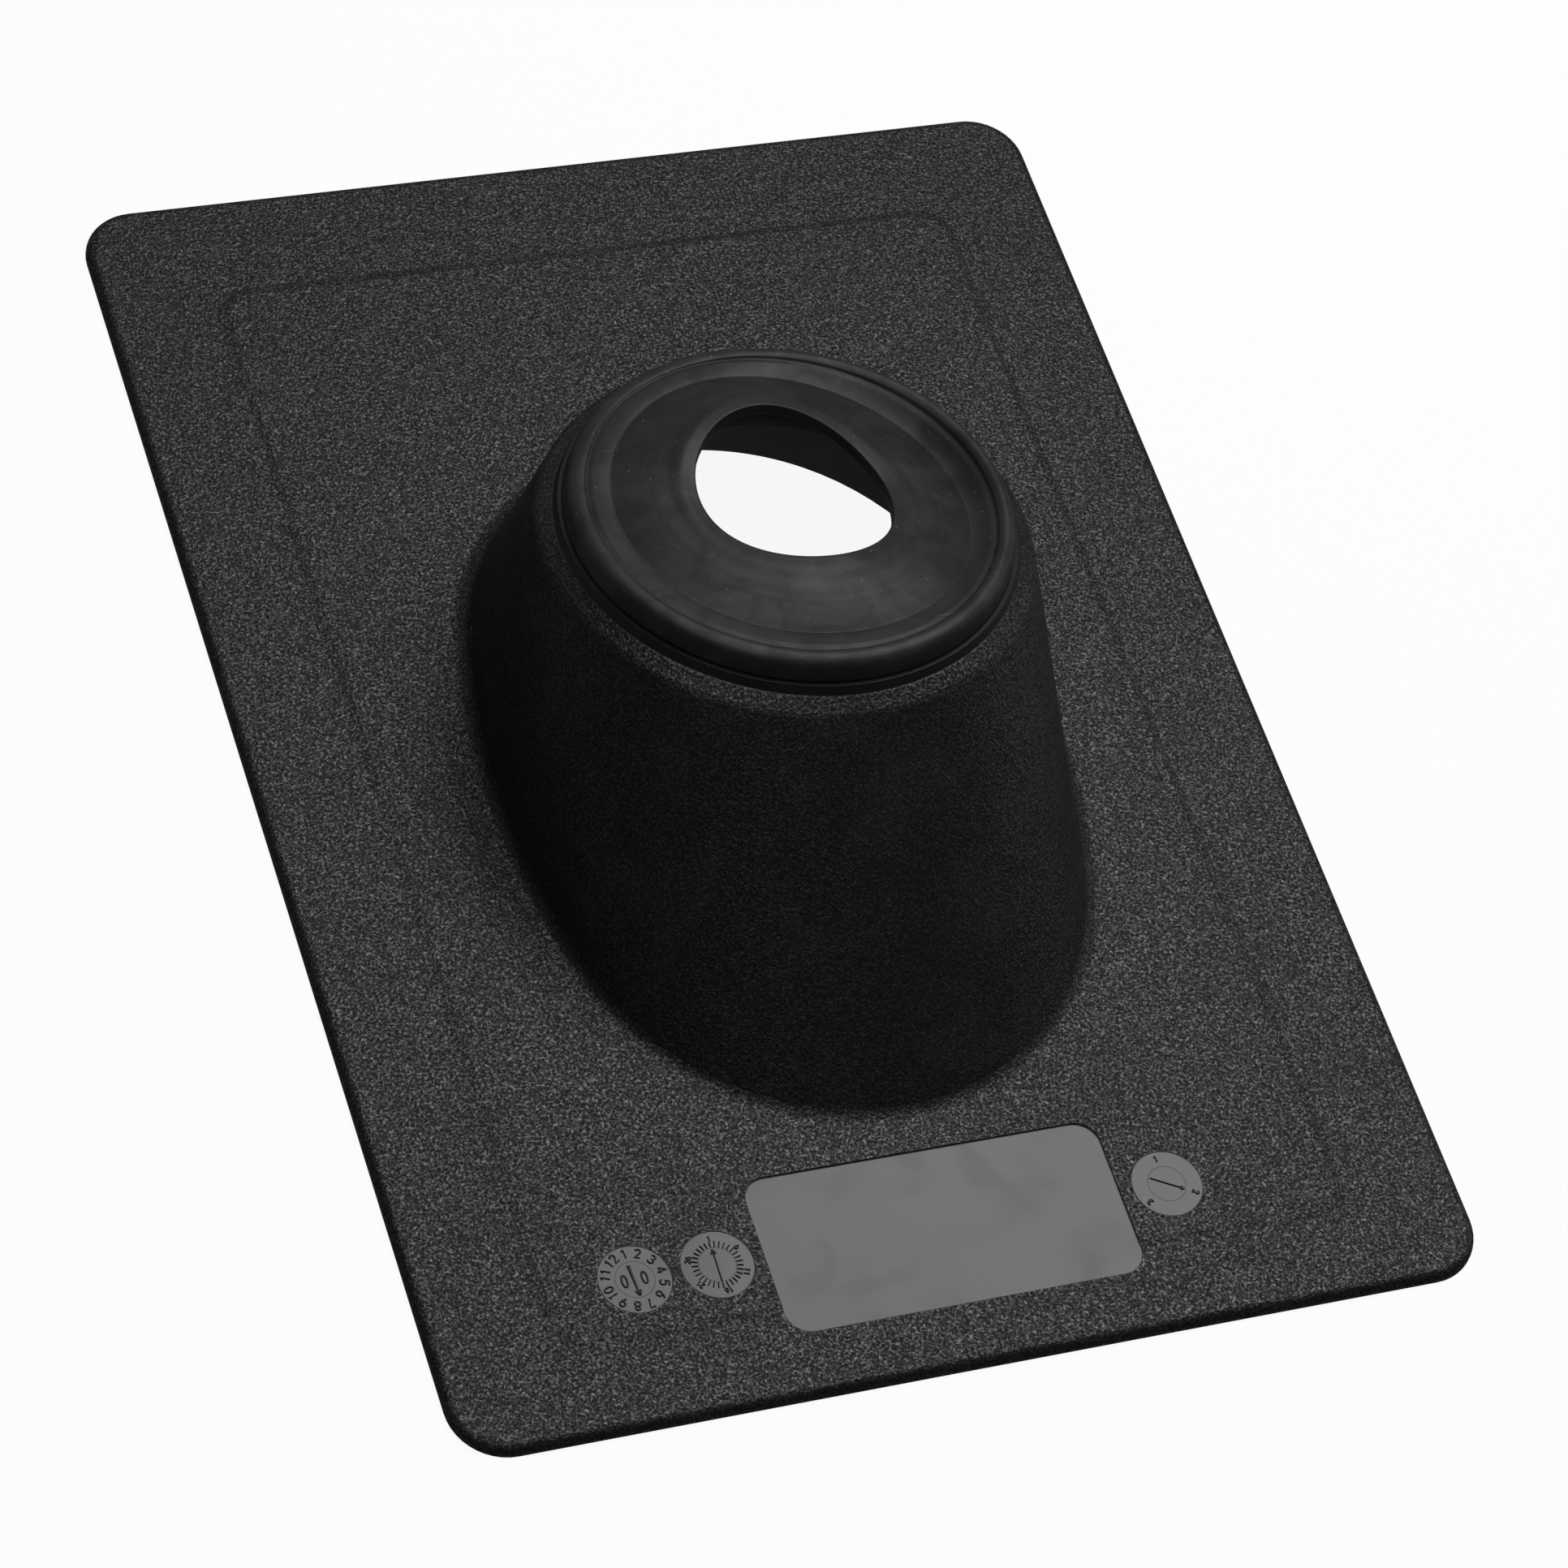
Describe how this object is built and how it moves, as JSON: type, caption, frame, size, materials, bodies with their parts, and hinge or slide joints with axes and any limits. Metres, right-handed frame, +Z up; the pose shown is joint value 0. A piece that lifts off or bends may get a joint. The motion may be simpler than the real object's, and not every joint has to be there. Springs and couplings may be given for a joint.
{
  "type": "pipe flashing boot",
  "caption": "Roof flashing for a vent pipe: a flat moulded base with a leaning hollow cone and a rubber collar that grips the pipe.",
  "frame": {"origin": "middle of the flange's flat underside, at the bottom centre of the bounding box", "axes": "+Z up, square to the flange; +Y up the roof slope, the way that the neck leans and away from the long front of the cone; +X across the roof, to the right"},
  "size_m": [0.235, 0.3302, 0.0713],
  "materials": {
    "base_plastic": "black moulded plastic with a fine worm-like grain, smooth on the neck, the panel and the dials",
    "collar_rubber": "smooth black rubber with a dull sheen"
  },
  "bodies": {
    "root": {"flashing_base": "base_plastic", "rubber_collar": "collar_rubber"}
  },
  "joints": []
}
